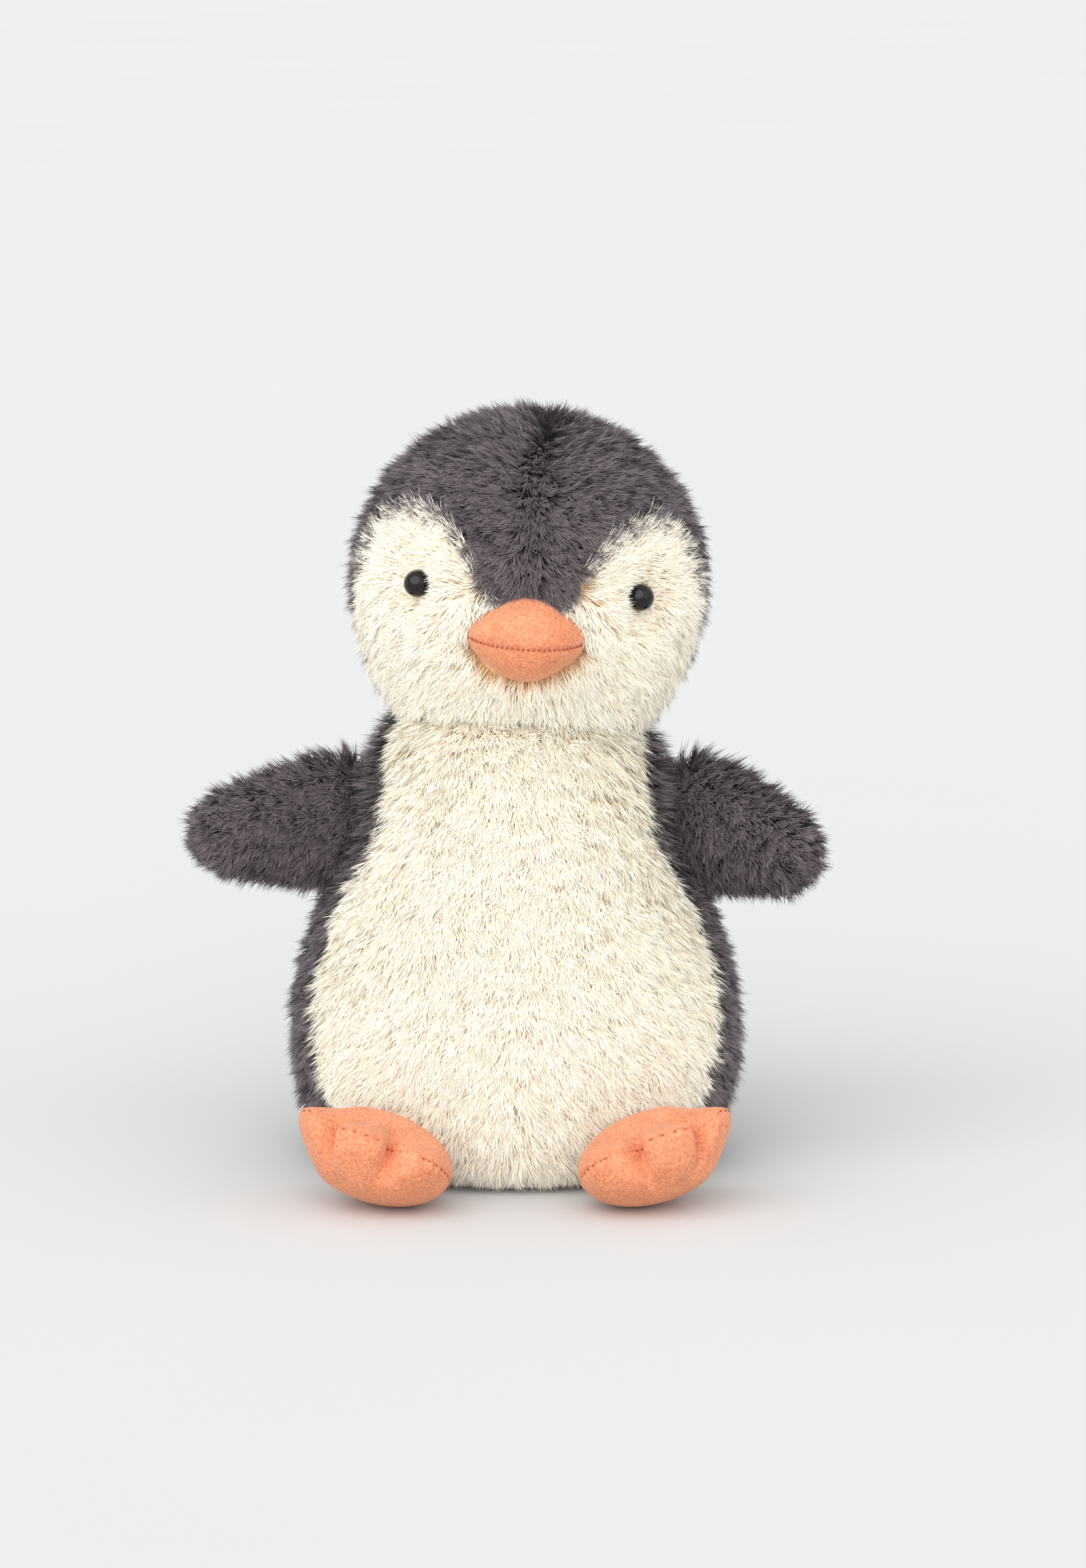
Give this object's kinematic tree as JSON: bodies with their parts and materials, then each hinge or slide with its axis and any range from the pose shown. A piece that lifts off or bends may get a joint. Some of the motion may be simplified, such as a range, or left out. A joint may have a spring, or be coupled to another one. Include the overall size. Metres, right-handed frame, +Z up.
{
  "type": "plush penguin",
  "caption": "Seated stuffed penguin of long-pile plush with a suede beak and feet, safety eyes, a bean-weighted base, a head that turns and nods, and flippers and feet that flex.",
  "frame": {"origin": "the middle of the flat base that the toy sits on", "axes": "+Z up; -Y the way the penguin faces; +X to the right of somebody looking at its face"},
  "size_m": [0.183, 0.1422, 0.2216],
  "materials": {
    "charcoal_plush": "matte",
    "cream_plush": "matte",
    "orange_suede": "matte",
    "stuffing": "matte",
    "lining": "matte",
    "beans": "matte",
    "eye": "gloss",
    "washer": "matte"
  },
  "bodies": {
    "torso": {"belly_left": "cream_plush", "belly_right": "cream_plush", "back_left": "charcoal_plush", "back_right": "charcoal_plush", "base_panel": "charcoal_plush", "bean_pouch": "lining", "beans": "beans", "body_stuffing": "stuffing"},
    "neck": {"neck_stuffing": "stuffing"},
    "head": {"hood_left": "charcoal_plush", "hood_right": "charcoal_plush", "cheek_left": "cream_plush", "cheek_right": "cream_plush", "head_stuffing": "stuffing", "eye_left": "eye", "eye_right": "eye", "eye_left_washer": "washer", "eye_right_washer": "washer", "beak_upper": "orange_suede", "beak_lower": "orange_suede", "beak_stuffing": "stuffing"},
    "flipper_right": {"flipper_right_front": "charcoal_plush", "flipper_right_back": "charcoal_plush", "flipper_right_stuffing": "stuffing"},
    "flipper_left": {"flipper_left_front": "charcoal_plush", "flipper_left_back": "charcoal_plush", "flipper_left_stuffing": "stuffing"},
    "foot_right": {"foot_right_upper": "orange_suede", "foot_right_sole": "orange_suede", "foot_right_stuffing": "stuffing"},
    "foot_left": {"foot_left_upper": "orange_suede", "foot_left_sole": "orange_suede", "foot_left_stuffing": "stuffing"}
  },
  "joints": [
    {"name": "head_turn", "type": "hinge", "parent": "torso", "child": "neck", "pos_m": [0, 0, 0.11], "axis": [0, 0, 1], "range_deg": [-35, 35], "stiffness_Nm_per_rad": 0.08},
    {"name": "head_nod", "type": "hinge", "parent": "neck", "child": "head", "pos_m": [0, 0, 0.11], "axis": [1, 0, 0], "range_deg": [-10, 14], "stiffness_Nm_per_rad": 0.35},
    {"name": "flipper_right_raise", "type": "hinge", "parent": "torso", "child": "flipper_right", "pos_m": [-0.054, -0.003, 0.099], "axis": [-0.309, 0.9511, 0], "range_deg": [-22, 30], "stiffness_Nm_per_rad": 0.03},
    {"name": "flipper_left_raise", "type": "hinge", "parent": "torso", "child": "flipper_left", "pos_m": [0.054, -0.003, 0.099], "axis": [-0.6157, -0.788, 0], "range_deg": [-22, 30], "stiffness_Nm_per_rad": 0.03},
    {"name": "foot_right_lift", "type": "hinge", "parent": "torso", "child": "foot_right", "pos_m": [-0.03816, -0.05301, 0.00905], "axis": [-0.9327, 0.2675, 0.2419], "range_deg": [-22, 15], "stiffness_Nm_per_rad": 0.03},
    {"name": "foot_left_lift", "type": "hinge", "parent": "torso", "child": "foot_left", "pos_m": [0.03816, -0.05301, 0.00905], "axis": [-0.9327, -0.2675, -0.2419], "range_deg": [-22, 15], "stiffness_Nm_per_rad": 0.03}
  ]
}
